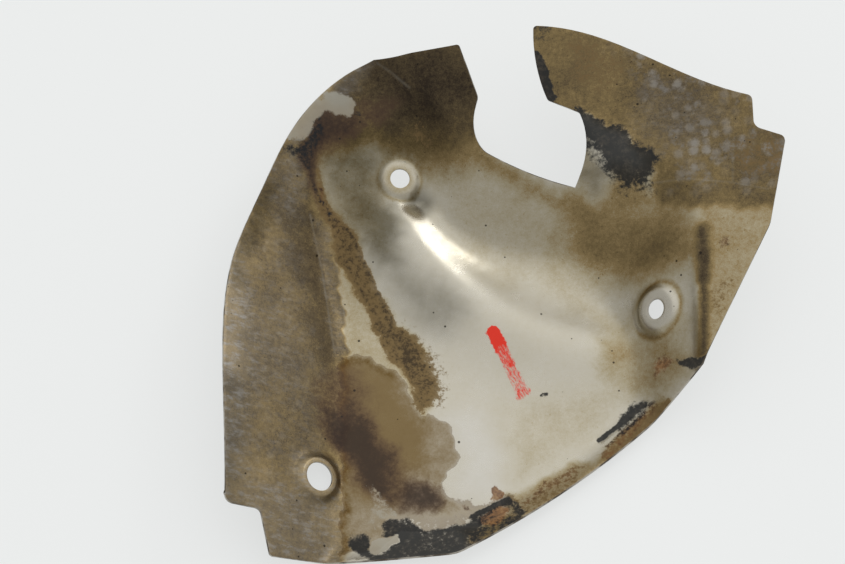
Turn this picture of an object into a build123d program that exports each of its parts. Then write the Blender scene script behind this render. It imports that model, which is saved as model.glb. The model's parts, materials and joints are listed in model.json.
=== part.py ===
# Exhaust heat shield: one pressed sheet of thin steel, lying with its hollow side up.
# X runs to the right, Y to the back and Z up. The origin is on the ground, in the middle
# of the footprint. Sizes are millimetres, angles are degrees and slopes are rise over run.
import os
from math import atan2, hypot, pi, radians, sqrt

from build123d import *

# Sheet, and how finely its skins are drawn
sheet = 0.8
skin_pitch = 4.0
crisp_split = 3
skin_margin = 5.0
block_depth = 12.0

# Left wing: rises to the left from a fold, and turns round the upper left corner as a cone
wing_slope = 0.69
wing_fold_x = -56.8
wing_corner_radius = 18.0
wing_corner_y = 13.4
wing_fold_reach = 2.5

# Left slope, below the upper bolt seat
left_slope = 0.46
left_foot_y = 8.4
left_fall = 0.22
left_fall_x = -38.8
left_fall_reach = 8.0
left_floor_reach = 5.0

# Rear wall, below the notch
rear_slope = 1.15
rear_foot_y = 20.8
rear_skew = 0.14
rear_end_x = -18.0
rear_end_skew = 0.8
rear_end_reach = 6.0
rear_floor_reach = 8.0
rear_blend_width = 34.0

# Steep wall of the left tab, and the plane of the tab's top, which rises to its tip
tab_wall_slope = 1.05
tab_wall_foot_y = 28.7
tab_wall_skew = 0.4
tab_wall_end_x = -10.0
tab_wall_reach = 5.0
left_tab_low = 35.0
left_tab_height = 48.7
left_tab_slope_x = 0.485
left_tab_slope_y = 0.5

# Side wall on the right, with the step at the foot of the right flange
side_slope = 1.0
side_foot_x = 35.65
side_skew = 0.22
side_reach = 18.0
step_height = 3.5
step_x = 63.2
step_width = 3.5
step_end_y = 11.4
step_fade = 8.0

# Right tab and flange: one out-turned plane beyond a soft fold
flange_height = 11.13
flange_slope_x = 0.29
flange_slope_y = 0.17
flange_start_x = 7.6
flange_start_skew = 0.29
flange_start_width = 26.0
flange_reach = 2.0

# Ridge between the two hollows, its crest on an arc
ridge_center_x = 49.4
ridge_center_y = 82.4
ridge_radius = 102.6
ridge_start_angle = 207.25
ridge_end_angle = 259.8
ridge_low = 4.5
ridge_rise = 12.5
ridge_top = 0.88
ridge_top_reach = 0.08
ridge_outer_slope = 0.38
ridge_outer_fade = 0.10
ridge_inner_slope = 0.46
ridge_round = 3.0
ridge_round_growth = 4.0
ridge_reach = 3.5

# Front lip, concentric with the front edge
lip_center_x = -75.8
lip_center_y = 76.4
lip_radius = 168.5
lip_slope = 0.60
lip_reach = 1.5

# Bolt seats: flats pressed towards the hollow side, each with a hole
seat_rise = 2.0
seat_flank = 2.0
seat_depth = 6.0
seat_bend_radius = 0.7
seat_foot_radius = 1.5
upper_seat_x, upper_seat_y = -37.0, 43.0
upper_seat_diameter = 12.0
upper_hole_diameter = 7.0
side_seat_x, side_seat_y = 53.4, -9.8
side_seat_diameter = 15.0
side_hole_diameter = 7.0
wing_seat_x, wing_seat_y = -64.4, -67.6
wing_seat_diameter = 14.0
wing_hole_diameter = 10.0

# Dimple between the upper seat and the ridge, pressed away from the hollow side
dimple_x, dimple_y = -31.0, 35.4
dimple_radius = 7.0
dimple_depth = 1.8

# Outline of the blank from above, clockwise from the left tab
left_tab_start = (-46.2, 80.5)
left_tab_tip = (-16.1, 78.0)
left_tab_heel = (-9.4, 60.0)
notch_left_foot = (-12.5, 48.9)
notch_floor_bow = (7.5, 40.6)
notch_corner = (25.6, 35.5)
notch_right_bow = (29.6, 51.0)
notch_right_top = (27.4, 61.8)
right_tab_heel = (16.4, 68.3)
right_tab_bow = (12.6, 83.0)
right_tab_tip = (11.9, 97.9)
rear_edge_bows = [(36.8, 88.3), (63.9, 70.6)]
rear_edge_end = (86.2, 58.6)
ear_foot = (86.2, 47.2)
ear_tip = (96.4, 42.0)
right_edge_bend = (89.7, 11.8)
right_edge_end = (65.4, -33.5)
front_edge_bow = (27.0, -66.2)
front_edge_end = (-17.5, -94.2)
heel_front = (-78.2, -97.7)
heel_rear = (-81.8, -82.5)
left_edge_start = (-92.6, -82.5)
left_edge_bows = [(-95.5, -33.0), (-93.7, 7.8), (-85.3, 34.6), (-74.1, 58.4), (-60.6, 72.8)]

# Corner radii of the blank
tip_radius = 1.2
notch_radius = 9.0
tab_heel_radius = 2.0
edge_corner_radius = 2.5
ear_foot_radius = 4.0
bend_radius = 12.0
rounded_corners = [
    (left_tab_tip, tip_radius),
    (left_tab_heel, edge_corner_radius),
    (notch_left_foot, notch_radius),
    (notch_right_top, edge_corner_radius),
    (right_tab_heel, tab_heel_radius),
    (right_tab_tip, tip_radius),
    (rear_edge_end, edge_corner_radius),
    (ear_foot, ear_foot_radius),
    (ear_tip, edge_corner_radius),
    (right_edge_bend, bend_radius),
    (right_edge_end, edge_corner_radius),
    (front_edge_end, bend_radius),
    (heel_front, tip_radius),
    (heel_rear, tab_heel_radius),
    (left_edge_start, edge_corner_radius),
]

# The skins reach past the blank on every side
skin_left = min(x for x, y in left_edge_bows) - skin_margin
skin_right = ear_tip[0] + skin_margin
skin_front = heel_front[1] - skin_margin
skin_rear = right_tab_tip[1] + skin_margin
wing_fold_width = wing_fold_reach / wing_slope
crisp_spans_x = [
    (step_x - step_width, step_x + 2 * step_width),
    (wing_fold_x - wing_fold_width, wing_fold_x + wing_fold_width),
    (dimple_x - dimple_radius, dimple_x + dimple_radius),
]
crisp_spans_y = [(dimple_y - dimple_radius, dimple_y + dimple_radius)]


def ease(share):
    # Smooth step from 0 to 1
    share = min(max(share, 0.0), 1.0)
    return share * share * (3 - 2 * share)


def mix(first, second, share):
    return first + (second - first) * share


def bend(rise, reach):
    # 0 below the fold and the rise itself above it, rounded over the reach on both sides
    if rise <= -reach:
        return 0.0
    if rise >= reach:
        return rise
    return (rise + reach) ** 2 / (4 * reach)


def valley(first, second, reach):
    # The higher of two surfaces, with a rounded inner corner
    return second + bend(first - second, reach)


def brow(first, second, reach):
    # The lower of two surfaces, with a rounded outer corner
    return first - bend(first - second, reach)


def wing_height(x, y):
    across = wing_fold_x + wing_corner_radius - x
    along = y - wing_corner_y
    outward = hypot(max(across, 0), max(along, 0)) + min(max(across, along), 0)
    return wing_slope * (outward - wing_corner_radius)


def ridge_outward(x, y):
    return hypot(x - ridge_center_x, y - ridge_center_y) - ridge_radius


def wall_height(x, y):
    rear_share = ease(-ridge_outward(x, y) / rear_blend_width)
    left = left_slope * (y - left_foot_y) - left_fall * bend(left_fall_x - x, left_fall_reach)
    rear_end = rear_end_skew * bend(rear_end_x - x, rear_end_reach)
    rear = rear_slope * (y - rear_foot_y + rear_skew * x - rear_end)
    tab_wall = tab_wall_slope * (y - tab_wall_foot_y + tab_wall_skew * min(x, tab_wall_end_x))
    back = valley(mix(left, rear, rear_share), tab_wall, tab_wall_reach)
    step = step_height * ease((x - step_x) / step_width) * ease((step_end_y - y) / step_fade)
    side = side_slope * (x - side_foot_x + side_skew * y) + step
    walls = valley(back, side, side_reach)
    return valley(walls, 0.0, mix(left_floor_reach, rear_floor_reach, rear_share))


def ridge_height(x, y):
    angle = atan2(y - ridge_center_y, x - ridge_center_x) % (2 * pi)
    start, end = radians(ridge_start_angle), radians(ridge_end_angle)
    along = (angle - start) / (end - start)
    climb = brow(max(1 - along, 0), ridge_top, ridge_top_reach)
    crest = ridge_low + ridge_rise * climb**3
    faded = min(max(along, 0), 1)
    rounding = ridge_round + ridge_round_growth * faded
    outward = ridge_outward(x, y)
    flank = hypot(outward, rounding) - rounding
    slope = ridge_outer_slope - ridge_outer_fade * faded if outward > 0 else ridge_inner_slope
    return crest - slope * flank


def flange_plane(x, y):
    tip_x, tip_y = left_tab_tip
    rise = left_tab_height + left_tab_slope_x * (x - tip_x) + left_tab_slope_y * (y - tip_y)
    left_tab = valley(rise, left_tab_low, flange_reach)
    right_tab = flange_height + flange_slope_x * x + flange_slope_y * y
    flange_share = ease((x + flange_start_skew * y - flange_start_x) / flange_start_width)
    return mix(left_tab, right_tab, flange_share)


def inner_height(x, y):
    # Height of the hollow side of the sheet
    form = valley(wing_height(x, y), wall_height(x, y), wing_fold_reach)
    form = valley(ridge_height(x, y), form, ridge_reach)
    form = brow(form, flange_plane(x, y), flange_reach)
    form -= dimple_depth * ease(1 - hypot(x - dimple_x, y - dimple_y) / dimple_radius)
    lip = lip_slope * (hypot(x - lip_center_x, y - lip_center_y) - lip_radius)
    return sheet + valley(lip, form, lip_reach)


def skin_slopes(x, y, nudge):
    slope_x = (inner_height(x + nudge, y) - inner_height(x - nudge, y)) / (2 * nudge)
    slope_y = (inner_height(x, y + nudge) - inner_height(x, y - nudge)) / (2 * nudge)
    return slope_x, slope_y


def outer_height(x, y):
    # The sheet's thickness below the hollow side, measured square to the sheet
    slope_x, slope_y = skin_slopes(x, y, skin_pitch / 4)
    return inner_height(x, y) - sheet * sqrt(1 + slope_x**2 + slope_y**2)


def seat_plane(x, y, diameter):
    # Plane of a seat's flat, along the skin around it and raised by the press
    slope_x, slope_y = skin_slopes(x, y, diameter / 2)
    normal = Vector(-slope_x, -slope_y, 1).normalized()
    return Plane(Vector(x, y, inner_height(x, y)) + normal * seat_rise, z_dir=normal)


# The blank stands taller than the highest corner of its outline
blank_height = max(inner_height(*corner) for corner, radius in rounded_corners) + skin_margin

# Plane, flat and hole of each seat
bolt_seats = [
    (seat_plane(x, y, diameter), diameter, hole)
    for x, y, diameter, hole in [
        (upper_seat_x, upper_seat_y, upper_seat_diameter, upper_hole_diameter),
        (side_seat_x, side_seat_y, side_seat_diameter, side_hole_diameter),
        (wing_seat_x, wing_seat_y, wing_seat_diameter, wing_hole_diameter),
    ]
]


def stations(low, high, crisp):
    # Places of the skin's points along one side: at the skin pitch, and closer in crisp folds
    count = round((high - low) / skin_pitch)
    marks = [mix(low, high, i / count) for i in range(count + 1)]
    places = [low]
    for start, end in zip(marks, marks[1:]):
        split = crisp_split if any(start < last and end > first for first, last in crisp) else 1
        places += [mix(start, end, (k + 1) / split) for k in range(split)]
    return places


def slice_below(height, y):
    # Upright slice through the block that one skin covers; all slices share their spacing
    places = stations(skin_left, skin_right, crisp_spans_x)
    shares = [(x - skin_left) / (skin_right - skin_left) for x in places]
    with BuildSketch(Plane.XZ.offset(-y)) as upright:
        with BuildLine():
            top = Edge.make_spline([(x, height(x, y)) for x in places], parameters=shares)
            add(top)
            Polyline(top @ 1, (skin_right, -block_depth), (skin_left, -block_depth), top @ 0)
        make_face()
    return upright.sketch


def seat_press(plane, diameter, inset):
    # Round-shouldered stub that raises one seat; the inset moves it in by the sheet's thickness
    top_radius = diameter / 2 - inset * (hypot(seat_flank, seat_rise) - seat_flank) / seat_rise
    base_radius = top_radius + seat_depth * seat_flank / seat_rise
    top = plane.offset(-inset)
    with BuildPart() as press:
        with Locations(top):
            Cone(base_radius, top_radius, seat_depth, align=(Align.CENTER, Align.CENTER, Align.MAX))
        shoulder = press.edges().filter_by(GeomType.CIRCLE).sort_by_distance(top.origin)[0]
        fillet(shoulder, seat_bend_radius + sheet - inset)
    return press.part


def pressed_block(height, inset):
    # Block below one skin, which lies the inset below the hollow side, with its seats
    with BuildPart() as block:
        loft(sections=[slice_below(height, y) for y in stations(skin_front, skin_rear, crisp_spans_y)])
        for plane, diameter, hole in bolt_seats:
            add(seat_press(plane, diameter, inset))
            fillet(block.edges(Select.NEW), seat_foot_radius + inset)
    return block.part


with BuildPart() as heat_shield:
    with BuildSketch(Plane.XY.offset(-block_depth / 2)):
        with BuildLine():
            Polyline(left_tab_start, left_tab_tip, left_tab_heel, notch_left_foot)
            ThreePointArc(notch_left_foot, notch_floor_bow, notch_corner)
            ThreePointArc(notch_corner, notch_right_bow, notch_right_top)
            Line(notch_right_top, right_tab_heel)
            ThreePointArc(right_tab_heel, right_tab_bow, right_tab_tip)
            Spline(right_tab_tip, *rear_edge_bows, rear_edge_end)
            Polyline(rear_edge_end, ear_foot, ear_tip, right_edge_bend, right_edge_end)
            ThreePointArc(right_edge_end, front_edge_bow, front_edge_end)
            Polyline(front_edge_end, heel_front, heel_rear, left_edge_start)
            Spline(left_edge_start, *left_edge_bows, left_tab_start)
        make_face()
    extrude(amount=block_depth / 2 + blank_height)
    for corner, radius in rounded_corners:
        fillet(heat_shield.edges().filter_by(Axis.Z).sort_by_distance(corner)[0], radius)
    add(pressed_block(inner_height, 0), mode=Mode.INTERSECT)
    add(pressed_block(outer_height, sheet), mode=Mode.SUBTRACT)
    for plane, diameter, hole in bolt_seats:
        with Locations(plane):
            Hole(hole / 2, depth=seat_depth)

os.makedirs("parts", exist_ok=True)
heat_shield.part.label = "heat_shield"
export_step(heat_shield.part, "parts/heat_shield.step")
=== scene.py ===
import bpy
import json
import numpy as np
from math import cos, radians, sin
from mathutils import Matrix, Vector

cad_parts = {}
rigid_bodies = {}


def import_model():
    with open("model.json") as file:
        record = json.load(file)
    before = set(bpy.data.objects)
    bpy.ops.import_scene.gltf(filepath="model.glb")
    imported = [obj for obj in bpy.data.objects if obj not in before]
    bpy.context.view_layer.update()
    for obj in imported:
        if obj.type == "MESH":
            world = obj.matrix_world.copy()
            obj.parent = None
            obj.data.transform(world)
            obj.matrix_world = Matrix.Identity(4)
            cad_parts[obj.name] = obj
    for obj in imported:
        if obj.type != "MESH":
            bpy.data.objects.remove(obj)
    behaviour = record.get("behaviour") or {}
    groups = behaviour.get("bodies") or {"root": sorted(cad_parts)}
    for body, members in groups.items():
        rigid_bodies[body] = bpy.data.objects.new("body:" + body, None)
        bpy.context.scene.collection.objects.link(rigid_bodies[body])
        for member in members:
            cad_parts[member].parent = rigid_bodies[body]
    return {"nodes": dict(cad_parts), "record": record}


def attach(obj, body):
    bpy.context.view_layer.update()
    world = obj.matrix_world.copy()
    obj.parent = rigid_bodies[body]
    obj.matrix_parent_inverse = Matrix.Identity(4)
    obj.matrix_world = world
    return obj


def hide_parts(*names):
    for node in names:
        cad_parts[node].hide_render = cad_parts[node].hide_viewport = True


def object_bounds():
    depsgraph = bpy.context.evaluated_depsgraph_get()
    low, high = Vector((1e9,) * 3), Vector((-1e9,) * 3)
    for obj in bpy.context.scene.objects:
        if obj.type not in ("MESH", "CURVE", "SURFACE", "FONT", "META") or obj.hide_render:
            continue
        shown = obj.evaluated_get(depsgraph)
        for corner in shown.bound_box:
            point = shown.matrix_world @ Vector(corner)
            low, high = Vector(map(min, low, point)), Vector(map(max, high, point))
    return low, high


# Looks of the pressed heat shield
# Places on the sheet are millimetres as seen from above: X to the right, Y to the back
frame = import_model()
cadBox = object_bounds()
mm = 0.001
print("frame loaded", [round(v, 4) for v in cadBox[1]])


def deselectAll():
    bpy.ops.object.select_all(action="DESELECT")


def makeActive(piece):
    deselectAll()
    piece.select_set(True)
    bpy.context.view_layer.objects.active = piece


def applyModifiers(piece):
    makeActive(piece)
    for modifier in list(piece.modifiers):
        bpy.ops.object.modifier_apply(modifier=modifier.name)


def sheetPoints(mesh):
    flat = np.zeros(len(mesh.vertices) * 3)
    mesh.vertices.foreach_get("co", flat)
    return flat.reshape(-1, 3) / mm


def lineDistance(x, y, line):
    near = np.full(x.shape, np.inf)
    for (ax, ay), (bx, by) in zip(line, line[1:]):
        along = ((x - ax) * (bx - ax) + (y - ay) * (by - ay)) / ((bx - ax) ** 2 + (by - ay) ** 2)
        along = np.clip(along, 0, 1)
        near = np.minimum(near, np.hypot(x - ax - along * (bx - ax), y - ay - along * (by - ay)))
    return near


def areaDepth(x, y, outline):  # distance to the outline, positive inside it
    inside = np.zeros(x.shape, bool)
    for (ax, ay), (bx, by) in zip(outline, outline[1:] + outline[:1]):
        if ay != by:
            spans = (ay > y) != (by > y)
            inside ^= spans & (x < ax + (bx - ax) * (y - ay) / (by - ay))
    near = lineDistance(x, y, outline + outline[:1])
    return np.where(inside, near, -near)


def smoothStep(low, high, value):
    share = np.clip((value - low) / (high - low), 0, 1)
    return share * share * (3 - 2 * share)


# Pressed sheet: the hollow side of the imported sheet, drawn finer and given its thickness again
sheet = {
    "thickness": 0.8 * mm,
    "rimAngle": radians(40),  # a cut rim is sharper than any bend of the sheet
    "weld": 0.002 * mm,
    "floorFacing": 0.9,  # least upward part of the normal on the floor
    "longestEdge": 1.7,
    "lineEdge": 0.6,  # longest edge beside a fold line
    "lineReach": 1.5,
    "splitRounds": 5,
    "flatAngle": radians(12),
    "tinyEdge": 0.06 * mm,
    "easing": 10,
    "easingShare": 0.5,
    "edgeRound": 0.12 * mm,
    "edgeAngle": radians(50),
    "edgeSegments": 2,
    "smoothAngle": radians(35),
}

# Fold lines of the hot side: the mesh is drawn finer beside them, and a light line along each is a painted
# highlight
foldLines = [
    [(-69.1, 30.0), (-64.7, 10.7), (-59.6, -20.0)],
    [(-59.8, 15.0), (-57.2, 0.0), (-54.6, -20.0)],
    [(-45.1, 79.4), (-39.7, 75.7), (-33.2, 69.7)],
    [(-56.0, -58.0), (-55.5, -80.5)],
    [(50.1, 34.1), (62.0, 32.0), (78.3, 28.0), (89.6, 24.0)],
    [(79.1, 43.3), (78.3, 28.5)],
]

# Two narrow grooves pressed along the foot of the front lip
lipGrooves = {
    "lines": [[(-12.0, -79.4), (0.4, -73.3)], [(32.0, -52.3), (47.5, -40.0)]],
    "reach": 1.8,
    "depth": 0.6,
}


def copyHollowSide(node):
    skin = bpy.data.objects.new("pressedSheet", node.data.copy())
    bpy.context.scene.collection.objects.link(skin)
    makeActive(skin)
    bpy.ops.object.mode_set(mode="EDIT")
    bpy.ops.mesh.select_all(action="SELECT")
    bpy.ops.mesh.customdata_custom_splitnormals_clear()
    bpy.ops.mesh.remove_doubles(threshold=sheet["weld"])
    bpy.ops.mesh.select_mode(type="EDGE")
    bpy.ops.mesh.select_all(action="DESELECT")
    bpy.ops.mesh.edges_select_sharp(sharpness=sheet["rimAngle"])
    bpy.ops.mesh.mark_seam()
    bpy.ops.mesh.select_mode(type="FACE")
    bpy.ops.mesh.select_all(action="DESELECT")
    bpy.ops.object.mode_set(mode="OBJECT")
    facesUp = [p for p in skin.data.polygons if p.normal.z > sheet["floorFacing"]]
    middle = min(facesUp, key=lambda p: p.center.xy.length)
    middle.select = True
    bpy.ops.object.mode_set(mode="EDIT")
    bpy.ops.mesh.select_linked(delimit={"SEAM"})
    bpy.ops.mesh.select_all(action="INVERT")
    bpy.ops.mesh.delete(type="FACE")
    bpy.ops.mesh.select_all(action="SELECT")
    bpy.ops.mesh.mark_seam(clear=True)
    bpy.ops.object.mode_set(mode="OBJECT")
    return skin


def selectLongEdges(mesh):
    ends = np.zeros(len(mesh.edges) * 2, int)
    mesh.edges.foreach_get("vertices", ends)
    points = sheetPoints(mesh)
    first, last = points[ends[0::2]], points[ends[1::2]]
    middle = (first + last) / 2
    nearLine = np.min([lineDistance(middle[:, 0], middle[:, 1], line) for line in foldLines], axis=0)
    limit = np.where(nearLine < sheet["lineReach"], sheet["lineEdge"], sheet["longestEdge"])
    mesh.polygons.foreach_set("select", np.zeros(len(mesh.polygons), bool))
    mesh.vertices.foreach_set("select", np.zeros(len(mesh.vertices), bool))
    mesh.edges.foreach_set("select", np.linalg.norm(first - last, axis=1) > limit)


def evenOutMesh(skin):
    bpy.context.tool_settings.mesh_select_mode = (False, True, False)
    for splitRound in range(sheet["splitRounds"]):
        selectLongEdges(skin.data)
        bpy.ops.object.mode_set(mode="EDIT")
        bpy.ops.mesh.subdivide(number_cuts=1)
        bpy.ops.mesh.select_all(action="SELECT")
        bpy.ops.mesh.quads_convert_to_tris(quad_method="BEAUTY", ngon_method="BEAUTY")
        bpy.ops.mesh.beautify_fill(angle_limit=sheet["flatAngle"])
        bpy.ops.object.mode_set(mode="OBJECT")
    bpy.ops.object.mode_set(mode="EDIT")
    bpy.ops.mesh.select_all(action="SELECT")
    bpy.ops.mesh.remove_doubles(threshold=sheet["tinyEdge"])
    bpy.ops.mesh.region_to_loop()
    bpy.ops.mesh.select_mode(type="VERT")
    bpy.ops.mesh.select_all(action="INVERT")
    bpy.ops.mesh.vertices_smooth(factor=sheet["easingShare"], repeat=sheet["easing"])
    bpy.ops.object.mode_set(mode="OBJECT")


def pressGrooves(skin):
    points = sheetPoints(skin.data)
    for line in lipGrooves["lines"]:
        near = lineDistance(points[:, 0], points[:, 1], line)
        points[:, 2] -= lipGrooves["depth"] * smoothStep(lipGrooves["reach"], 0, near)
    skin.data.vertices.foreach_set("co", (points * mm).ravel())
    skin.data.update()


def thickenSheet(skin):
    wall = skin.modifiers.new("wall", "SOLIDIFY")
    wall.thickness = sheet["thickness"]
    wall.offset = -1
    wall.use_quality_normals = True
    wall.material_offset = 1
    wall.material_offset_rim = 2
    edges = skin.modifiers.new("edges", "BEVEL")
    edges.width = sheet["edgeRound"]
    edges.segments = sheet["edgeSegments"]
    edges.limit_method = "ANGLE"
    edges.angle_limit = sheet["edgeAngle"]
    applyModifiers(skin)
    bpy.ops.object.shade_smooth_by_angle(angle=sheet["smoothAngle"])


# Finish layers of the hot side. A mark is an area or a line with its level and how soft its border is.
# Levels over 1 hold against the noise that makes the borders ragged, and levels under 1 break up in it.
markShapes = {
    "dotLength": 0.1,  # a dot is a very short stroke
    "ringPoints": 24,
    "longWave": 0.7,  # the borders of areas waver, so that none runs straight
    "shortWave": 0.4,
    "acrossWaves": {"long": 0.45, "bend": 0.21, "short": 1.3, "slant": 0.5},
    "alongWaves": {"long": 0.41, "bend": 0.19, "short": 1.1, "slant": -0.6},
}


def area(level, soft, *outline):
    return {"level": level, "soft": soft, "outline": list(outline)}


def stroke(level, soft, width, *line):
    return {"level": level, "soft": soft, "width": width, "line": list(line)}


def disc(level, soft, radius, place):
    return stroke(level, soft, 2 * radius, place, beside(place, markShapes["dotLength"], 0))


def ring(level, soft, width, place, wide, deep):
    turns = [radians(360 / markShapes["ringPoints"] * step) for step in range(markShapes["ringPoints"] + 1)]
    return stroke(level, soft, width, *[beside(place, wide * cos(turn), deep * sin(turn)) for turn in turns])


def beside(place, right, back):
    return (place[0] + right, place[1] + back)


def wavered(place, other, waves):
    longWave = markShapes["longWave"] * np.sin(waves["long"] * other + np.sin(waves["bend"] * place))
    shortWave = markShapes["shortWave"] * np.sin(waves["short"] * other + waves["slant"] * place)
    return place + longWave + shortWave


def paintLayer(piece, name, base, marks):
    points = sheetPoints(piece.data)
    x, y = points[:, 0], points[:, 1]
    across = wavered(x, y, markShapes["acrossWaves"])
    along = wavered(y, x, markShapes["alongWaves"])
    value = np.full(x.shape, float(base))
    for mark in marks:
        if "outline" in mark:
            depth = areaDepth(across, along, mark["outline"])
        else:
            depth = mark["width"] / 2 - lineDistance(x, y, mark["line"])
        cover = smoothStep(-mark["soft"], mark["soft"], depth)
        value += (mark["level"] - value) * cover
    layer = piece.data.attributes.new(name, "FLOAT", "POINT")
    layer.data.foreach_set("value", value)


# Places that more than one layer uses
boltHoles = {mount["name"]: [v / mm for v in mount["pos_m"]] for mount in frame["record"]["mounts"]}
upperSeat = tuple(boltHoles["upper_bolt_hole"][:2])
sideSeat = tuple(boltHoles["side_bolt_hole"][:2])
wingSeat = tuple(boltHoles["wing_bolt_hole"][:2])
foldPanel = [(-69, 30), (-62.5, 26), (-57, 2), (-55, -19.5), (-60, -21), (-65, 10)]
wingFace = [(-98, -90), (-62, -90), (-64, -30), (-76, 30), (-98, 30)]
lipChip = [(-46.6, -87.4), (-42.5, -86.4), (-37, -87), (-37, -89.6), (-40, -92), (-45, -93), (-47, -90)]

# Heat tint: 0 is silver, about half is straw and 1 is nearly black
tintMarks = [
    # Floor, with straw along the notch and towards the side seat
    area(0.02, 6, (-22, -44), (-10, -42), (-2, -56), (-3, -72), (-16, -72), (-14, -58)),
    area(0.26, 9, (-26, 46), (-4, 44), (10, 36), (14, 8), (0, 6), (-14, 18), (-22, 30)),
    area(0.44, 4, (6, 39), (26, 33.5), (40, 30), (36, 25), (20, 30), (6, 35)),
    area(0.32, 9, (8, 30), (22, 28), (26, 4), (40, -8), (60, -8), (66, -20), (40, -16), (16, 6)),
    area(0.54, 10, (23, 32), (40, 32), (60, 26), (66, 16), (67, 4), (57, 1), (46, 3), (32, 8), (23, 18)),
    # Right flange and tab
    area(0.41, 3, (68, 30), (95, 26), (92, 6), (70, -30), (67.5, -10), (68.5, 10)),
    area(0.43, 5, (70, -4), (82, -2), (76, -14), (67, -34), (67, -12)),
    area(0.63, 2.0, (53, 33), (62, 32), (80, 29), (95, 25), (95, 17), (80, 19), (62, 22), (54, 26)),
    area(0.60, 2.5, (8, 104), (10, 66), (30, 60.5), (44, 49), (52, 37), (54, 31.5), (104, 21), (110, 54),
         (82, 72), (40, 98)),
    area(0.64, 6, (20, 94), (40, 88), (52, 72), (40, 62), (22, 70)),
    area(0.70, 8, (74, 46), (98, 48), (98, 22), (80, 26)),
    area(0.68, 6, (50, 76), (72, 64), (84, 52), (70, 43), (50, 50), (40, 66)),
    # Foot of the right tab, front right of the floor, and the slope left of the upper seat
    area(0.28, 3, (25, 38), (29, 50), (34, 43), (37, 34), (33, 30)),
    area(0.52, 4, (39, 40), (50, 39), (52, 29), (42, 26), (37, 32)),
    area(0.41, 6, (34, -16), (58, -20), (66, -30), (58, -38), (44, -37), (34, -28)),
    area(0.26, 9, (0, -40), (30, -34), (46, -24), (30, -54), (4, -66)),
    area(0.36, 9, (-65, 55), (-48, 58), (-42, 44), (-42, 18), (-54, 24), (-62, 34), (-68, 44)),
    # Wing, and the strip under the crust beside its fold
    area(0.60, 3, (-104, -112), (-55.5, -112), (-54.5, -60), (-55.5, -20), (-60, 6), (-65.5, 28), (-69, 42),
         (-80, 50), (-104, 50)),
    area(0.69, 9, (-90, -10), (-70, -24), (-66, -50), (-76, -60), (-90, -44)),
    area(0.68, 7, (-96, -36), (-64, -40), (-66, -64), (-96, -64)),
    area(0.61, 5, (-92, -77), (-55.5, -77), (-55.5, -98), (-88, -98)),
    area(0.54, 4, (-104, -36), (-91, -36), (-91, -10), (-93, 20), (-104, 20)),
    area(0.70, 5, (-82, 46), (-68, 42), (-61, 6), (-57, -24), (-64, -30), (-70, -4), (-80, 20)),
    area(0.67, 1.5, *foldPanel),
    area(0.55, 2.5, (-69, 44), (-63, 35), (-58, 31), (-54, 25), (-50, 13), (-44, 2), (-38, -8), (-29, -17),
         (-24, -29), (-25, -38), (-29, -44), (-33, -34), (-40, -23), (-44, -17), (-51.5, -1.5), (-56, 5),
         (-62, 16), (-66, 30)),
    # Upper left corner and left tab, then the pale strip between the fold and the crust
    area(0.77, 5, (-84, 44), (-72, 60), (-58, 76), (-45, 86), (-36, 72), (-38, 58), (-54, 55), (-64, 52),
         (-69, 42)),
    area(0.58, 8, (-52, 74), (-12, 74), (-2, 58), (-4, 47), (-20, 43), (-30, 47), (-42, 52), (-50, 60)),
    area(0.76, 7, (-52, 90), (-12, 88), (-2, 66), (-6, 57), (-20, 55), (-32, 57), (-42, 61), (-48, 68)),
    area(0.83, 6, (-46, 80), (-28, 76), (-16, 70), (-14, 62), (-24, 60), (-36, 61), (-46, 68)),
    area(0.66, 5, (-40, 94), (-8, 90), (-8, 75), (-22, 79), (-40, 83)),
    area(0.34, 1.0, (-60, 15.5), (-54.5, 5), (-50.5, -1.5), (-43.5, -17), (-37, -27), (-40, -30), (-47, -24),
         (-54.5, -24), (-57.2, 2)),
    # Painted shade in the crease at the step and along the edge of the notch, and the lip
    stroke(0.76, 1.6, 2.8, (67.4, 4.0), (67.1, -10), (66.2, -30)),
    stroke(0.77, 2.5, 3.8, (67.6, 12.5), (67.4, 6.0), (67.2, -4)),
    stroke(0.46, 3.0, 4.0, (-10, 47), (-4, 43), (4, 39.5)),
    area(0.42, 1.6, (-2, -72.5), (8, -69.5), (15, -65.5), (21, -60.5), (29, -61), (34, -57), (44, -47),
         (52, -40), (56, -45), (31, -69), (10, -82), (0, -79)),
    area(0.50, 2.5, (30, -60), (38, -52), (46, -45), (53, -39), (56, -43), (44, -57), (33, -66)),
    area(0.62, 3.0, (-16, -85), (-4, -82), (3, -79), (6, -82), (-10, -95)),
    area(0.60, 4.0, (-84, 42), (-76, 55), (-71, 50), (-74, 40)),  # top of the wing
    # Bolt seats, with a ring of painted shade round the foot of two of them
    ring(0.42, 0.9, 1.0, beside(upperSeat, -0.2, 0.4), 8.0, 7.8),
    ring(0.50, 0.9, 1.2, beside(sideSeat, 0.9, 0.2), 6.9, 9.6),
    disc(0.22, 0.8, 6.6, upperSeat),
    disc(0.34, 1.2, 4.6, beside(upperSeat, -0.5, -0.5)),
    disc(0.12, 0.8, 6.8, sideSeat),
    disc(0.49, 0.8, 7.0, wingSeat),
]
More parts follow.
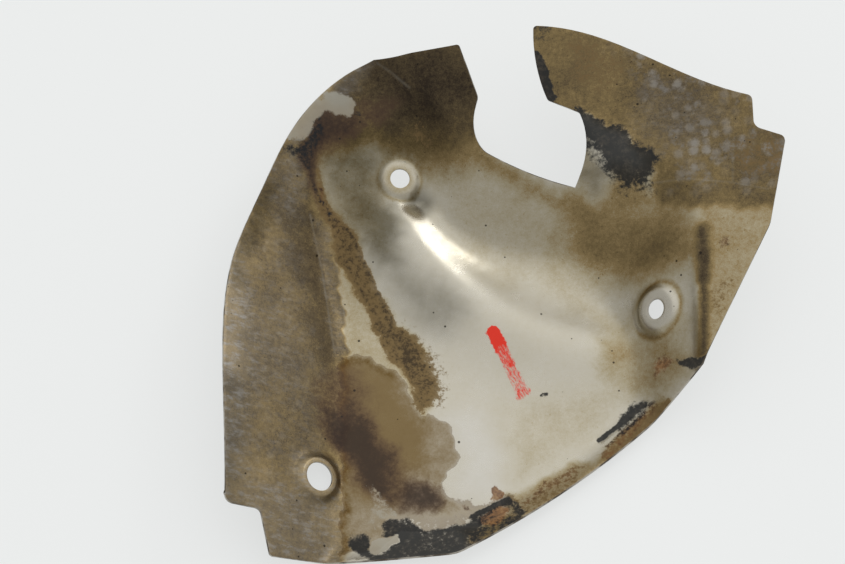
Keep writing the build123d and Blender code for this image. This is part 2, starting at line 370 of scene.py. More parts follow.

# Grey smudges along the wing's edge and at the right tab, and painted shade beside the ridge, round the upper
# seat and in the small dimple beside it
smudgeAndPaintedShadeMarks = [
    # painted shade on the slope left of the ridge
    area(0.60, 7, (-42, 20), (-36, 10), (-26, 7), (-16, 2), (-12, -6), (-20, -14), (-30, -10), (-38, 0)),
    # painted shade behind and round the upper seat
    area(0.9, 9, (-68, 50), (-60, 60), (-46, 62), (-32, 58), (-26, 52), (-31, 46), (-43, 42), (-42, 24),
         (-38, 12), (-46, 12), (-56, 28), (-64, 40)),
    area(0.6, 4, (-100, -6), (-100, 14), (-94, 34), (-85, 34), (-87, 16), (-90, 6), (-91, -4)),
    area(0.5, 5, (-104, -40), (-88, -40), (-88, -86), (-104, -86)),
    area(0.8, 4, (-93, 14), (-85, 37), (-80, 37), (-86, 14)),
    # painted shade below and left of the upper seat
    area(1.0, 5, (-49, 34), (-39, 33), (-36, 22), (-42, 15), (-49, 22)),
    area(0.7, 4, (22, 40), (29, 56), (35, 48), (38, 40), (33, 34)),
    # painted shade of the small dimple beside the upper seat
    stroke(0.9, 3.0, 7.0, (-31, 36.5), (-28.5, 34.5)),
    disc(0.0, 0.8, 6.6, upperSeat),
]

# Dried film with a tide line at its border, denser over 1
filmMarks = [
    area(1.0, 1.4, (-56.5, -21), (-47, -21), (-41.5, -24.5), (-37, -28), (-32.5, -36), (-29.5, -43.5),
         (-26, -41), (-20, -46.5), (-16.3, -54), (-16.3, -60), (-20, -64.5), (-21, -70), (-19, -74),
         (-12, -76), (-14, -82), (-24, -85), (-36, -85), (-44, -92), (-56.5, -94), (-56.5, -50)),
    area(1.7, 7.0, (-56.5, -23), (-47, -24), (-39, -31), (-33, -45), (-29, -50), (-30, -58), (-34, -64),
         (-38, -74), (-48, -74), (-54, -64), (-58, -50)),
    area(0.65, 2.5, (-20, -72), (-9, -74), (-1, -71), (4, -70), (2, -80), (-10, -84)),
    area(0.55, 3.0, (-40, -79), (-24, -79), (-14, -79), (-16, -86), (-36, -86)),
]

# Purple-brown burns in the film and at the upper left corner
burnMarks = [
    area(0.62, 8.0, (-67, -33), (-60, -24), (-50, -23), (-46, -34), (-44, -50), (-37, -56), (-30, -66),
         (-24, -70), (-24, -77), (-34, -79), (-42, -75), (-50, -68), (-57, -57), (-64, -49)),
    area(1.1, 5.5, (-63, -43), (-56, -41), (-49.5, -44), (-44, -52), (-39.5, -58.5), (-41, -66), (-40, -73),
         (-45, -73), (-51, -66), (-55, -59), (-60, -52)),
    area(0.95, 4.0, (-34, -69), (-27, -67), (-22, -69.5), (-21.5, -74), (-25, -76.5), (-30, -77.5),
         (-35, -77), (-37, -73)),
    area(0.95, 5.0, (-66, 65), (-54, 66), (-50, 61), (-57.5, 55), (-64, 51), (-67, 45), (-72, 48), (-72, 58)),
    area(0.65, 5.0, (-53, 67), (-42, 71), (-36, 66), (-44, 60), (-52, 59)),
    stroke(1.0, 3.0, 3.5, (-71, 50), (-69, 44), (-67, 38), (-63.5, 32), (-58, 26)),
]

# Brown crust, darker over 1, and its thin stains on the tabs, the flange and the lip
crustMarks = [
    area(0.44, 4.0, (-36, -7), (-25, -15), (-19, -27), (-19.5, -42), (-25, -42), (-27, -30), (-32, -18)),
    area(0.95, 1.8, (-68, 42), (-63.5, 34), (-58.5, 30), (-54, 25.5), (-49.5, 13.5), (-44, 2.5), (-38, -8),
         (-31.5, -15), (-26.5, -22.5), (-23.7, -29), (-24, -37), (-28.5, -42.5), (-30.5, -43), (-33, -33),
         (-38.7, -24), (-43.5, -17), (-50.5, -1.5), (-54.5, 5), (-60, 17), (-62.5, 25), (-67, 36)),
    area(1.25, 4.0, (-42, -8), (-38, -12), (-32, -18), (-27.5, -25), (-28, -31), (-34, -24), (-40, -15)),
    stroke(1.3, 1.4, 1.2, (-66.5, 45), (-63.5, 35), (-59, 29.5), (-54.5, 25), (-50, 13.5), (-44.5, 2.5),
           (-39, -8)),
    area(0.5, 4.0, (-36, 60), (-28, 60), (-23, 53), (-28, 50), (-34, 54)),
    area(0.5, 5.0, (74, 44), (96, 46), (98, 26), (82, 28)),
    area(0.45, 4.0, (68, -6), (80, -4), (76, -14), (67, -32)),
    area(0.45, 5.0, (20, 92), (36, 90), (48, 76), (40, 64), (24, 72)),
    area(0.50, 2.0, (0, -74), (9, -70.5), (16, -66), (22, -61), (30, -62), (24, -70), (10, -80), (2, -79)),
    area(0.72, 2.5, (31, -57), (38, -49.5), (47, -42.5), (54, -39), (57, -43), (44, -58), (33, -67)),
]

# Soot, thin under 1
emptyLevel = -0.3  # below what the noise can lift into sight
sootMarks = [
    # Upper left corner
    area(0.60, 4.0, (-66, 63), (-61.5, 62.5), (-62, 59), (-66, 54.5), (-67, 49), (-70, 46), (-73, 50),
         (-73, 56), (-69, 59)),
    area(0.5, 3.0, (-81, 50), (-73, 54), (-72, 50), (-78, 46)),
    area(0.9, 1.5, (-54, 65), (-51, 65), (-51, 63), (-54, 63)),
    stroke(0.58, 2.5, 2.0, (-71, 48), (-68, 40), (-65, 35), (-60, 29.5)),
    # Front strip
    area(0.86, 1.8, (-54.5, -87), (-49, -85.8), (-44.5, -86), (-42.3, -84.5), (-43.3, -81.5), (-40, -79.3),
         (-33, -80.5), (-28, -83.5), (-20, -84.2), (-15, -82.3), (-10.5, -79.6), (0, -73), (3, -75), (7, -78),
         (3, -86), (-12, -95), (-24, -102), (-40, -102), (-46, -96), (-52.5, -93), (-54, -90)),
    area(0.62, 3.0, (-14, -86), (-6, -84), (3, -80), (2, -86), (-10, -93)),
    area(0.25, 2.0, (-9, -80), (-3, -76.5), (2, -76.5), (1, -81), (-4, -84), (-9, -84)),
    area(emptyLevel, 1.0, *lipChip),
    # Right tab
    area(0.54, 6.0, (31, 59), (44, 51), (55, 40), (55, 30), (42, 29), (36, 37), (30, 48)),
    area(1.4, 5.0, (27, 63), (40.5, 53.5), (44, 49), (50.5, 43), (50, 40), (43, 37), (38, 39), (35.5, 43),
         (32, 47.5), (28.5, 53)),
    area(0.45, 2.5, (30, 53), (36, 46), (38, 42), (34, 42), (30.5, 48)),
    area(1.25, 1.2, (10, 88), (14.5, 87), (16.3, 80), (18.3, 76), (19, 69), (17, 66), (10, 70)),
    area(0.45, 3.0, (11, 100), (20, 97), (17, 88), (12, 90)),
    # Foot of the step, a large fleck on the floor, and the lip's grooves
    area(1.0, 1.6, (57, -29), (62, -29), (66.5, -31), (66, -34.5), (60, -33)),
    area(1.3, 0.4, (11.8, -36.6), (13.2, -35.5), (15, -36), (14.6, -37), (12.6, -37.3)),
    area(0.62, 2.0, (38, -44), (45, -38.5), (47, -41), (41, -47)),
    area(0.62, 3.0, (33, -54), (40, -46), (48, -39), (53, -39), (44, -50), (36, -58)),
    *[stroke(1.3, 0.9, 1.6, *line) for line in lipGrooves["lines"]],
]

# Rust along the lip, at the foot of the step, on the flange and at the top of the crust
rustMarks = [
    area(1.1, 1.2, (-6.3, -70.5), (-3.8, -69.2), (-0.3, -72), (-2.5, -74.2), (-6, -74)),
    area(1.0, 2.5, (-9.5, -79), (-3, -76), (1, -76.5), (1, -81), (-5, -85.5), (-9.5, -84)),
    area(0.45, 2.5, (2, -73.5), (10, -69), (17, -64.5), (22, -61), (29, -62.5), (24, -67),
         (12, -74), (4, -78)),
    area(0.50, 3.0, (-18, -74), (-10, -76), (-12, -79), (-19, -78)),
    area(0.72, 3.5, (49, -26.5), (55, -26), (58, -29.5), (55, -33), (50, -32)),
    area(0.55, 3.5, (30, -58), (36, -50), (46, -41), (52, -37), (52, -42), (44, -54), (34, -64)),
    area(0.45, 2.5, (71, 10), (76, 11), (78, 6), (73, 4)),
    area(0.50, 2.0, (-68.5, 43), (-66, 44), (-63, 35), (-61, 31), (-64, 31), (-67, 37)),
]

# Chips and patches where the stain is off
bareMarks = [
    area(0.55, 2.4, (-47.5, -68.5), (-44.5, -67.5), (-43, -71), (-38, -74), (-36, -78.5), (-31, -80.6),
         (-33, -81.2), (-39, -80.3), (-43, -81), (-43.6, -84), (-47.6, -84)),
    area(1.15, 1.0, *lipChip),
    area(0.95, 2.2, (-65, 70.5), (-57, 71.5), (-52.5, 68), (-54, 64.3), (-60, 63), (-64.5, 65)),
    area(0.95, 2.2, (-71, 66), (-64.5, 68), (-62.5, 64), (-65, 61), (-70.5, 61.5)),
    area(0.92, 2.4, (-80, 55.5), (-72, 64), (-67, 62), (-68.5, 57), (-72, 54.5), (-77.5, 51.5)),
    area(1.3, 0.4, (-17.8, -82.4), (-16.5, -81.4), (-15.2, -82.2), (-16.4, -83.4)),
    stroke(0.7, 0.8, 1.0, (40, 54.5), (45, 52.5), (50, 52)),
]

# Round pale spots, mostly on the right tab
spotMarks = [
    area(1.2, 6, (38, 92), (50, 66), (55, 44), (60, 30), (98, 25), (100, 48), (80, 68), (56, 82)),
    area(0.4, 6, *wingFace),
]

# Pale dabs in rows, mostly on the wing
dabMarks = [
    area(0.35, 6, *wingFace),
    area(0.65, 6, (-94, -36), (-94, -8), (-76, -4), (-70, -24), (-72, -40)),
    area(1.5, 6, (-104, -100), (-88, -90), (-88, -20), (-93, 16), (-104, 16)),
    area(0.40, 1.5, *foldPanel),
    area(0.90, 3, (-80, 52), (-58, 76), (-46, 84), (-52, 72), (-66, 60)),
    area(0.40, 6, (50, 70), (70, 62), (80, 50), (62, 40), (46, 52)),
    area(0.95, 5, (-92, -72), (-55.5, -74), (-55.5, -100), (-92, -100)),
    area(0.70, 4, (-86, 30), (-77, 53), (-70, 50), (-73, 28)),
    disc(1.0, 1.2, 8.0, wingSeat),
]

# Stroke of red paint that runs dry
paintMarks = [
    stroke(1.5, 0.4, 4.7, (-3.6, -13.2), (-1.0, -18.8)),
    stroke(0.62, 0.7, 4.7, (-0.6, -19.6), (3.0, -27.5)),
    stroke(0.46, 0.9, 5.0, (3.0, -27.8), (5.6, -33.0)),
    area(0.56, 1.0, (3.0, -33.6), (8, -33.0), (8.8, -35.6), (5.5, -37.0), (3.2, -36)),
]

# Each layer's level where no mark reaches, and its marks
finishLayers = {
    "tint": (0.14, tintMarks),
    # grey smudges and painted shade
    "smudgeAndPaintedShade": (0, smudgeAndPaintedShadeMarks),
    "film": (emptyLevel, filmMarks),
    "burn": (emptyLevel, burnMarks),
    "crust": (emptyLevel, crustMarks),
    "soot": (emptyLevel, sootMarks),
    "rust": (emptyLevel, rustMarks),
    "bare": (emptyLevel, bareMarks),
    "spots": (0, spotMarks),
    "dabs": (0, dabMarks),
    # painted highlights along the folds
    "lines": (0, [stroke(1.0, 0.45, 0.4, *line) for line in foldLines]),
    "paint": (emptyLevel, paintMarks),
}

noiseBand = (0.28, 0.72)  # where nearly all of a noise lies


# Node helpers
def newMaterial(name):
    material = bpy.data.materials.new(name)
    material.use_nodes = True
    return material, material.node_tree, material.node_tree.nodes["Principled BSDF"]


def put(tree, kind, inputs, **settings):
    node = tree.nodes.new(kind)
    for key, value in settings.items():
        setattr(node, key, value)
    for key, value in inputs.items():
        if isinstance(value, bpy.types.NodeSocket):
            tree.links.new(value, node.inputs[key])
        else:
            node.inputs[key].default_value = value
    return node


def sheetPlaces(tree):  # Object coordinates in millimetres
    places = put(tree, "ShaderNodeTexCoord", {})
    scaled = put(tree, "ShaderNodeVectorMath", {0: places.outputs["Object"], "Scale": 1 / mm},
                 operation="SCALE")
    return scaled.outputs[0]


def threshold(tree, value, low, high):
    node = put(tree, "ShaderNodeMapRange", {"Value": value, "From Min": low, "From Max": high},
               interpolation_type="SMOOTHSTEP")
    return node.outputs["Result"]


def cloud(tree, places, size, detail=4.0, rough=0.55):  # noise spread over 0 to 1
    noise = put(tree, "ShaderNodeTexNoise", {"Vector": places, "Scale": 1 / size, "Detail": detail,
                                             "Roughness": rough})
    spread = put(tree, "ShaderNodeMapRange", {"Value": noise.outputs["Fac"], "From Min": noiseBand[0],
                                              "From Max": noiseBand[1]})
    return spread.outputs["Result"]


def calc(tree, operation, a, b=0.0, c=0.0):
    return put(tree, "ShaderNodeMath", {0: a, 1: b, 2: c}, operation=operation).outputs[0]


def times(tree, a, b):
    return calc(tree, "MULTIPLY", a, b)


def larger(tree, a, b):
    return calc(tree, "MAXIMUM", a, b)


def shifted(tree, layer, noise, gain):  # layer plus noise about its middle
    return calc(tree, "MULTIPLY_ADD", calc(tree, "SUBTRACT", noise, 0.5), gain, layer)


def shiftedByAll(tree, layer, noise, gains):
    for name, gain in gains.items():
        layer = shifted(tree, layer, noise[name], gain)
    return layer


def layerOf(tree, name):
    return put(tree, "ShaderNodeAttribute", {}, attribute_name=name).outputs["Fac"]


def ragged(tree, name, noise, look):  # share of a painted layer, with its border broken up
    value = shifted(tree, layerOf(tree, name), noise, look["gain"])
    return threshold(tree, value, 0.5 - look["softness"], 0.5 + look["softness"])


def blendColour(tree, share, low, high, kind="MIX"):
    node = put(tree, "ShaderNodeMix", {"Factor": share}, data_type="RGBA", blend_type=kind)
    for socket, colour in ((node.inputs[6], low), (node.inputs[7], high)):
        if isinstance(colour, bpy.types.NodeSocket):
            tree.links.new(colour, socket)
        else:
            socket.default_value = (*colour, 1)
    return node.outputs[2]


def lay(tree, under, share, cover, over):  # one finish over another, at most as dense as its cover
    return blendColour(tree, times(tree, share, cover), under, over)


def blendValue(tree, share, low, high):
    return put(tree, "ShaderNodeMix", {"Factor": share, 2: low, 3: high}, data_type="FLOAT").outputs[0]


def ramp(tree, value, stops):
    node = put(tree, "ShaderNodeValToRGB", {"Fac": value})
    elements = node.color_ramp.elements
    elements[0].position, elements[0].color = stops[0][0], (*stops[0][1], 1)
    elements[1].position, elements[1].color = stops[-1][0], (*stops[-1][1], 1)
    for place, colour in stops[1:-1]:
        elements.new(place).color = (*colour, 1)
    return node.outputs["Color"]


def roughen(tree, shader, height, strength, distance):
    bump = put(tree, "ShaderNodeBump", {"Height": height, "Strength": strength, "Distance": distance})
    tree.links.new(bump.outputs["Normal"], shader.inputs["Normal"])


# Hot side: steel tinted by heat, and the finishes that lie on it, from the lowest to the highest
# A gain is how far noise moves a border, and a pair of levels is where a finish starts and where it is full
noiseKinds = {
    "broad": {"size": 30},
    "middle": {"size": 8, "detail": 8, "rough": 0.68},
    "fine": {"size": 1.5, "detail": 8, "rough": 0.7},
    "grain": {"size": 0.4, "detail": 3},
}
tornFine = 0.55  # share of the fine noise in a torn border


def makeNoises(tree):
    places = sheetPlaces(tree)
    noise = {name: cloud(tree, places, **kind) for name, kind in noiseKinds.items()}
    noise["torn"] = blendValue(tree, tornFine, noise["middle"], noise["fine"])
    noise["places"] = places
    return noise


# Steel from silver through straw and brown to black
steelLook = {
    "colours": [
        (0.00, (0.56, 0.54, 0.485)),
        (0.20, (0.50, 0.465, 0.375)),
        (0.34, (0.40, 0.345, 0.23)),
        (0.46, (0.30, 0.22, 0.105)),
        (0.58, (0.20, 0.146, 0.068)),
        (0.70, (0.115, 0.086, 0.048)),
        (0.90, (0.04, 0.030, 0.022)),
    ],
    "gains": {"broad": 0.14, "middle": 0.14, "fine": 0.20, "grain": 0.14},
    "leastGain": 0.2,  # what silver steel still gets of the noise
    "pits": {"size": 0.9, "rough": 0.6},
    "pitLevels": (0.78, 1.0),
    "pitTint": 0.22,
}


def tintSteel(tree, noise):
    waver = shiftedByAll(tree, 0.0, noise, steelLook["gains"])
    pits = threshold(tree, cloud(tree, noise["places"], **steelLook["pits"]), *steelLook["pitLevels"])
    waver = calc(tree, "MULTIPLY_ADD", pits, steelLook["pitTint"], waver)
    tint = layerOf(tree, "tint")
    heat = calc(tree, "MULTIPLY_ADD", waver, calc(tree, "ADD", tint, steelLook["leastGain"]), tint)
    return heat, ramp(tree, heat, steelLook["colours"])


paleLook = {
    "colour": (0.30, 0.285, 0.26),
    "cover": 0.75,
    "spotScale": 0.24,
    "spotGain": 0.35,
    "spotLevels": (0.65, 0.15),
    "chanceLevels": (0.1, 0.95),
    "blotchLevels": (0.5, 0.9),
    "blotchCover": 0.7,
    "spotCover": 0.8,
    "rowStretch": (0.6, 1.4, 0.6),
    "rows": {"size": 2.6, "detail": 8, "rough": 0.7},
    "rowLevels": (0.4, 1.0),
    "rowShare": 0.75,
}


def layPale(tree, noise, colour):
    cells = put(tree, "ShaderNodeTexVoronoi", {"Vector": noise["places"], "Scale": paleLook["spotScale"]})
    chance = put(tree, "ShaderNodeSeparateColor", {"Color": cells.outputs["Color"]}).outputs["Red"]
    reach = shifted(tree, cells.outputs["Distance"], noise["fine"], paleLook["spotGain"])
    spots = times(tree, threshold(tree, reach, *paleLook["spotLevels"]),
                  threshold(tree, chance, *paleLook["chanceLevels"]))
    blotches = threshold(tree, noise["middle"], *paleLook["blotchLevels"])
    spots = larger(tree, spots, times(tree, blotches, paleLook["blotchCover"]))
    spots = times(tree, spots, layerOf(tree, "spots"))
    rows = put(tree, "ShaderNodeVectorMath", {0: noise["places"], 1: paleLook["rowStretch"]},
               operation="MULTIPLY")
    streaks = threshold(tree, cloud(tree, rows.outputs[0], **paleLook["rows"]), *paleLook["rowLevels"])
    dabs = calc(tree, "MULTIPLY_ADD", streaks, paleLook["rowShare"], 1 - paleLook["rowShare"])
    dabs = times(tree, dabs, layerOf(tree, "dabs"))
    share = larger(tree, times(tree, spots, paleLook["spotCover"]), dabs)
    return lay(tree, colour, share, paleLook["cover"], paleLook["colour"])


# Light lines along the folds, painted highlights of the bends
foldHighlightLook = {"colour": (0.34, 0.32, 0.27), "cover": 0.45}


def layFoldHighlights(tree, noise, colour):
    share = times(tree, layerOf(tree, "lines"), noise["middle"])
    return lay(tree, colour, share, foldHighlightLook["cover"], foldHighlightLook["colour"])


# Grey of the smudges and of the painted shade, multiplied into the colour
smudgeAndPaintedShadeLook = {"colour": (0.385, 0.38, 0.36), "gain": 0.4, "least": 0.8}


def laySmudgeAndPaintedShade(tree, noise, colour):
    uneven = calc(tree, "MULTIPLY_ADD", noise["middle"], smudgeAndPaintedShadeLook["gain"], smudgeAndPaintedShadeLook["least"])
    share = times(tree, layerOf(tree, "smudgeAndPaintedShade"), uneven)
    return blendColour(tree, share, colour, smudgeAndPaintedShadeLook["colour"], "MULTIPLY")


filmLook = {
    "colour": (0.37, 0.28, 0.16),
    "gain": 0.6,
    "levels": (0.42, 0.56),
    "denseLevels": (-0.1, 1.5),
    "tide": (0.105, 0.058, 0.032),
    "tideLevels": (0.8, 0.5),
    "tideCover": 0.35,
}


def layFilm(tree, noise, colour):
    value = shifted(tree, layerOf(tree, "film"), noise["torn"], filmLook["gain"])
    share = threshold(tree, value, *filmLook["levels"])
    dense = times(tree, share, threshold(tree, value, *filmLook["denseLevels"]))
    colour = blendColour(tree, dense, colour, filmLook["colour"], "MULTIPLY")
    tide = times(tree, share, threshold(tree, value, *filmLook["tideLevels"]))
    return lay(tree, colour, tide, filmLook["tideCover"], filmLook["tide"])


burnLook = {
    "colour": (0.036, 0.022, 0.017),
    "thin": (0.105, 0.058, 0.032),
    "gain": 0.8,
    "levels": (-0.05, 0.95),
    "thinLevels": (1.15, 0.35),
    "cover": 0.88,
}


def layBurns(tree, noise, colour):
    value = shifted(tree, layerOf(tree, "burn"), noise["torn"], burnLook["gain"])
    share = threshold(tree, value, *burnLook["levels"])
    purple = blendColour(tree, threshold(tree, value, *burnLook["thinLevels"]), burnLook["colour"],
                         burnLook["thin"])
    return lay(tree, colour, share, burnLook["cover"], purple), share


bareLook = {
    "colour": (0.36, 0.29, 0.19),
    "pale": (0.44, 0.44, 0.39),
    "gain": 0.9,
    "softness": 0.15,
    "cover": 0.85,
}


def layBare(tree, noise, colour):
    share = ragged(tree, "bare", noise["torn"], bareLook)
    chipped = blendColour(tree, noise["broad"], bareLook["colour"], bareLook["pale"])
    return lay(tree, colour, share, bareLook["cover"], chipped), share


crustLook = {
    "colour": (0.19, 0.125, 0.050),
    "dark": (0.045, 0.029, 0.015),
    "gains": {"torn": 0.7, "fine": 0.6},
    "levels": (0.3, 0.7),
    "darkLevels": (0.8, 1.35),
    "cover": 0.88,
}


def layCrust(tree, noise, colour):
    value = shiftedByAll(tree, layerOf(tree, "crust"), noise, crustLook["gains"])
    share = threshold(tree, value, *crustLook["levels"])
    brown = blendColour(tree, threshold(tree, value, *crustLook["darkLevels"]), crustLook["colour"],
                        crustLook["dark"])
    return lay(tree, colour, share, crustLook["cover"], brown), share


rustLook = {
    "colours": [(0.25, (0.36, 0.22, 0.09)), (0.45, (0.25, 0.115, 0.042)), (0.75, (0.065, 0.036, 0.022))],
    "gain": 1.1,
    "softness": 0.2,
    "cover": 0.85,
}


def layRust(tree, noise, colour):
    share = ragged(tree, "rust", noise["torn"], rustLook)
    orange = ramp(tree, noise["torn"], rustLook["colours"])
    return lay(tree, colour, share, rustLook["cover"], orange), share


sootLook = {
    "colour": (0.016, 0.018, 0.020),
    "grey": (0.070, 0.060, 0.048),
    "greyLevels": (0.1, 0.6),
    "gain": 1.3,
    "softness": 0.22,
    "cover": 0.94,
}


def laySoot(tree, noise, colour):
    share = ragged(tree, "soot", noise["torn"], sootLook)
    black = blendColour(tree, threshold(tree, noise["torn"], *sootLook["greyLevels"]), sootLook["grey"],
                        sootLook["colour"])
    return lay(tree, colour, share, sootLook["cover"], black), share


speckLook = {
    "colour": (0.022, 0.018, 0.015),
    "scale": 0.21,
    "chanceLevels": (0.35, 1.0),
    "largest": 0.10,
    "edge": 0.012,
    "cover": 0.85,
}


def laySpecks(tree, noise, colour):
    dots = put(tree, "ShaderNodeTexVoronoi", {"Vector": noise["places"], "Scale": speckLook["scale"]})
    chance = put(tree, "ShaderNodeSeparateColor", {"Color": dots.outputs["Color"]}).outputs["Green"]
    radius = times(tree, threshold(tree, chance, *speckLook["chanceLevels"]), speckLook["largest"])
    outside = calc(tree, "SUBTRACT", dots.outputs["Distance"], radius)
    share = threshold(tree, outside, speckLook["edge"], -speckLook["edge"])
    return lay(tree, colour, share, speckLook["cover"], speckLook["colour"])


paintLook = {
    "colour": (0.82, 0.024, 0.007),
    "brushAngle": radians(-66),
    "brushStretch": (3, 1, 3),
    "bristles": {"size": 0.6, "detail": 5, "rough": 0.7},
    "gain": 0.8,
    "softness": 0.32,
    "cover": 0.95,
}


def layPaint(tree, noise, colour):
    brush = put(tree, "ShaderNodeMapping", {"Vector": noise["places"],
                                            "Rotation": (0, 0, paintLook["brushAngle"]),
                                            "Scale": paintLook["brushStretch"]}, vector_type="TEXTURE")
    bristles = cloud(tree, brush.outputs[0], **paintLook["bristles"])
    share = ragged(tree, "paint", bristles, paintLook)
    return lay(tree, colour, share, paintLook["cover"], paintLook["colour"]), share


# Gloss: what lies on the steel is dull, and tinted steel is rougher than silver
surfaceLook = {
    "dullShares": {"rust": 1.0, "paint": 1.0, "soot": 0.85, "bare": 0.6, "crust": 0.5, "burn": 0.5},
    "silverRough": 0.29,
    "tintedRough": 0.42,
    "tintedLevels": (0.1, 0.7),
    "roughGain": 0.1,
    "dullRough": 0.68,
    "steelSpecular": 0.5,
    "dullSpecular": 0.15,
    "dullRelief": 0.5,
    "grainRelief": 0.2,
    "bumpStrength": 0.3,
    "bumpDistance": 0.12 * mm,
}


def setSurface(tree, shader, noise, heat, shares):
    dull = 0.0
    for name, weight in surfaceLook["dullShares"].items():
        dull = larger(tree, dull, times(tree, shares[name], weight))
    rough = blendValue(tree, threshold(tree, heat, *surfaceLook["tintedLevels"]), surfaceLook["silverRough"],
                       surfaceLook["tintedRough"])
    rough = shifted(tree, rough, noise["middle"], surfaceLook["roughGain"])
    rough = blendValue(tree, dull, rough, surfaceLook["dullRough"])
    specular = blendValue(tree, dull, surfaceLook["steelSpecular"], surfaceLook["dullSpecular"])
    tree.links.new(rough, shader.inputs["Roughness"])
    tree.links.new(blendValue(tree, dull, 1.0, 0.0), shader.inputs["Metallic"])
    tree.links.new(specular, shader.inputs["Specular IOR Level"])
    grain = times(tree, noise["grain"], surfaceLook["grainRelief"])
    relief = calc(tree, "MULTIPLY_ADD", dull, surfaceLook["dullRelief"], grain)
    roughen(tree, shader, relief, surfaceLook["bumpStrength"], surfaceLook["bumpDistance"])


def makeHotSideMaterial():
    material, tree, shader = newMaterial("heatTintedSteel")
    noise = makeNoises(tree)
    shares = {}
    heat, colour = tintSteel(tree, noise)
    colour = layPale(tree, noise, colour)
    colour = layFoldHighlights(tree, noise, colour)
    colour = laySmudgeAndPaintedShade(tree, noise, colour)
    colour = layFilm(tree, noise, colour)
    colour, shares["burn"] = layBurns(tree, noise, colour)
    colour, shares["bare"] = layBare(tree, noise, colour)
    colour, shares["crust"] = layCrust(tree, noise, colour)
    colour, shares["rust"] = layRust(tree, noise, colour)
    colour, shares["soot"] = laySoot(tree, noise, colour)
    colour = laySpecks(tree, noise, colour)
    colour, shares["paint"] = layPaint(tree, noise, colour)
    tree.links.new(colour, shader.inputs["Base Color"])
    setSurface(tree, shader, noise, heat, shares)
    return material


# Outer side: a plain brown stain with soot. A pair of values is for the stain and for the soot.
outerSide = {
    "colours": [(0.05, (0.36, 0.32, 0.25)), (0.5, (0.23, 0.185, 0.125)), (0.92, (0.10, 0.075, 0.052))],
    "stain": {"size": 22, "detail": 6, "rough": 0.6},
    "fine": {"size": 1.8, "rough": 0.6},
    "fineGain": 0.25,
    "soot": (0.025, 0.024, 0.023),
    "sootNoise": {"size": 14, "detail": 5, "rough": 0.65},
    "sootGain": 0.3,
    "sootLevels": (0.78, 0.95),
    "roughness": (0.42, 0.75),
    "metallic": (1.0, 0.1),
    "bumpStrength": 0.15,
    "bumpDistance": 0.1 * mm,
}


def makeOuterSideMaterial():
    material, tree, shader = newMaterial("outerSteel")
    places = sheetPlaces(tree)
    fine = cloud(tree, places, **outerSide["fine"])
    stain = shifted(tree, cloud(tree, places, **outerSide["stain"]), fine, outerSide["fineGain"])
    soot = shifted(tree, cloud(tree, places, **outerSide["sootNoise"]), fine, outerSide["sootGain"])
    soot = threshold(tree, soot, *outerSide["sootLevels"])
    colour = blendColour(tree, soot, ramp(tree, stain, outerSide["colours"]), outerSide["soot"])
    tree.links.new(colour, shader.inputs["Base Color"])
    tree.links.new(blendValue(tree, soot, *outerSide["roughness"]), shader.inputs["Roughness"])
    tree.links.new(blendValue(tree, soot, *outerSide["metallic"]), shader.inputs["Metallic"])
    roughen(tree, shader, fine, outerSide["bumpStrength"], outerSide["bumpDistance"])
    return material


# Cut edge: bright steel, stained in stretches
cutEdge = {
    "bright": (0.42, 0.39, 0.34),
    "dark": (0.10, 0.08, 0.06),
    "stain": {"size": 9, "detail": 5, "rough": 0.6},
    "stainLevels": (0.25, 0.75),
    "roughness": (0.35, 0.6),
    "metallic": 0.9,
}


def makeCutEdgeMaterial():
    material, tree, shader = newMaterial("cutEdgeSteel")
    stain = threshold(tree, cloud(tree, sheetPlaces(tree), **cutEdge["stain"]), *cutEdge["stainLevels"])
    tree.links.new(blendColour(tree, stain, cutEdge["bright"], cutEdge["dark"]), shader.inputs["Base Color"])
    tree.links.new(blendValue(tree, stain, *cutEdge["roughness"]), shader.inputs["Roughness"])
    shader.inputs["Metallic"].default_value = cutEdge["metallic"]
    return material


pressedSheet = copyHollowSide(frame["nodes"]["heat_shield"])
evenOutMesh(pressedSheet)
print("hollow side copied", len(pressedSheet.data.polygons), "faces")
pressGrooves(pressedSheet)
pressedSheet.data.materials.clear()
for makeMaterial in (makeHotSideMaterial, makeOuterSideMaterial, makeCutEdgeMaterial):
    pressedSheet.data.materials.append(makeMaterial())
thickenSheet(pressedSheet)
print("sheet thickened", len(pressedSheet.data.polygons), "faces")
for layerName, (base, marks) in finishLayers.items():
    paintLayer(pressedSheet, layerName, base, marks)
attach(pressedSheet, "root")
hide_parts("heat_shield")
print("finish layers painted")


# Floor: seen and mirrored at an even pale level, and still taking the sheet's shadow
floorPlan = {"size": 6.0, "drop": 0.25 * mm, "colour": (0.865, 0.88, 0.875), "roughness": 0.6, "glow": 0.7}


def makeFloor():
    deselectAll()
    place = (0, 0, cadBox[0][2] - floorPlan["drop"])
    bpy.ops.mesh.primitive_plane_add(size=floorPlan["size"], location=place)
    floor = bpy.context.active_object
    floor.name = "floor"
    material, tree, shader = newMaterial("paleTable")
    shader.inputs["Base Color"].default_value = (*floorPlan["colour"], 1)
    shader.inputs["Roughness"].default_value = floorPlan["roughness"]
    rays = put(tree, "ShaderNodeLightPath", {}).outputs
    seen = larger(tree, rays["Is Camera Ray"], rays["Is Glossy Ray"])
    seen = larger(tree, seen, rays["Is Transmission Ray"])
    glow = put(tree, "ShaderNodeEmission", {"Color": (*floorPlan["colour"], 1)})
    mixed = put(tree, "ShaderNodeMixShader", {0: times(tree, seen, floorPlan["glow"]),
                                              1: shader.outputs["BSDF"], 2: glow.outputs["Emission"]})
    tree.links.new(mixed.outputs["Shader"], tree.nodes["Material Output"].inputs["Surface"])
    floor.data.materials.append(material)


makeFloor()

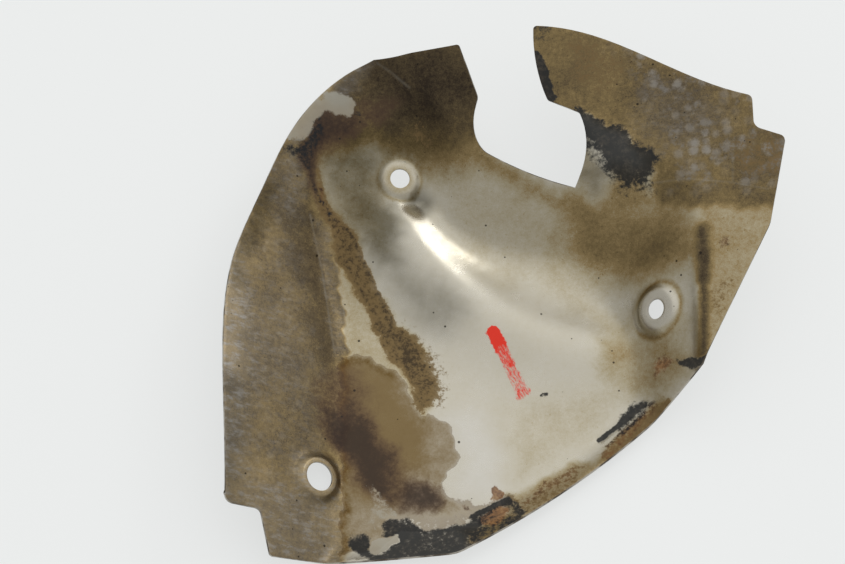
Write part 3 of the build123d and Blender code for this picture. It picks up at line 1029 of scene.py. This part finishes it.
# Light: a soft sky, brighter to the back and right, and one soft box
studio = {
    "skyColour": (1.0, 1.0, 0.995),
    "brightWay": (0.25, 0.55, 0.80),
    "brightFrom": 0.3,
    "skyLow": 0.62,
    "skyHigh": 1.10,
    "boxPlace": (0.95, 0.85, 0.90),
    "boxSize": 0.4,
    "boxPower": 2.0,
}


def makeLight():
    world = bpy.data.worlds.new("studioSky")
    bpy.context.scene.world = world
    world.use_nodes = True
    tree = world.node_tree
    sky = tree.nodes["Background"]
    sky.inputs["Color"].default_value = (*studio["skyColour"], 1)
    ways = put(tree, "ShaderNodeTexCoord", {}).outputs["Generated"]
    facing = put(tree, "ShaderNodeVectorMath", {0: ways, 1: studio["brightWay"]}, operation="DOT_PRODUCT")
    level = put(tree, "ShaderNodeMapRange", {"Value": facing.outputs["Value"],
                                             "From Min": studio["brightFrom"],
                                             "To Min": studio["skyLow"], "To Max": studio["skyHigh"]})
    tree.links.new(level.outputs["Result"], sky.inputs["Strength"])
    deselectAll()
    bpy.ops.object.light_add(type="AREA", location=studio["boxPlace"])
    box = bpy.context.active_object
    box.name = "softBox"
    box.data.shape = "DISK"
    box.data.size = studio["boxSize"]
    box.data.energy = studio["boxPower"]
    box.rotation_euler = (-box.location).to_track_quat("-Z", "Y").to_euler()


makeLight()

# Camera: looks down on the sheet from the front. Aim, distance and sensor are in millimetres.
view = {
    "aim": (-28.7, 8.6, 0.8),
    "elevation": 64,
    "distance": 620,
    "focalPixels": 1722,
    "imageWidth": 845,
    "sensor": 36,
    "clipStart": 10,
}


def makeCamera():
    rise = radians(view["elevation"])
    x, y, z = view["aim"]
    place = (x, y - view["distance"] * cos(rise), z + view["distance"] * sin(rise))
    deselectAll()
    bpy.ops.object.camera_add(location=[v * mm for v in place], rotation=(radians(90) - rise, 0, 0))
    camera = bpy.context.active_object
    camera.data.sensor_fit = "HORIZONTAL"
    camera.data.sensor_width = view["sensor"]
    camera.data.lens = view["sensor"] * view["focalPixels"] / view["imageWidth"]
    camera.data.clip_start = view["clipStart"] * mm
    bpy.context.scene.camera = camera


makeCamera()
bpy.context.scene.view_settings.view_transform = "Standard"
print("stage, light and camera set")
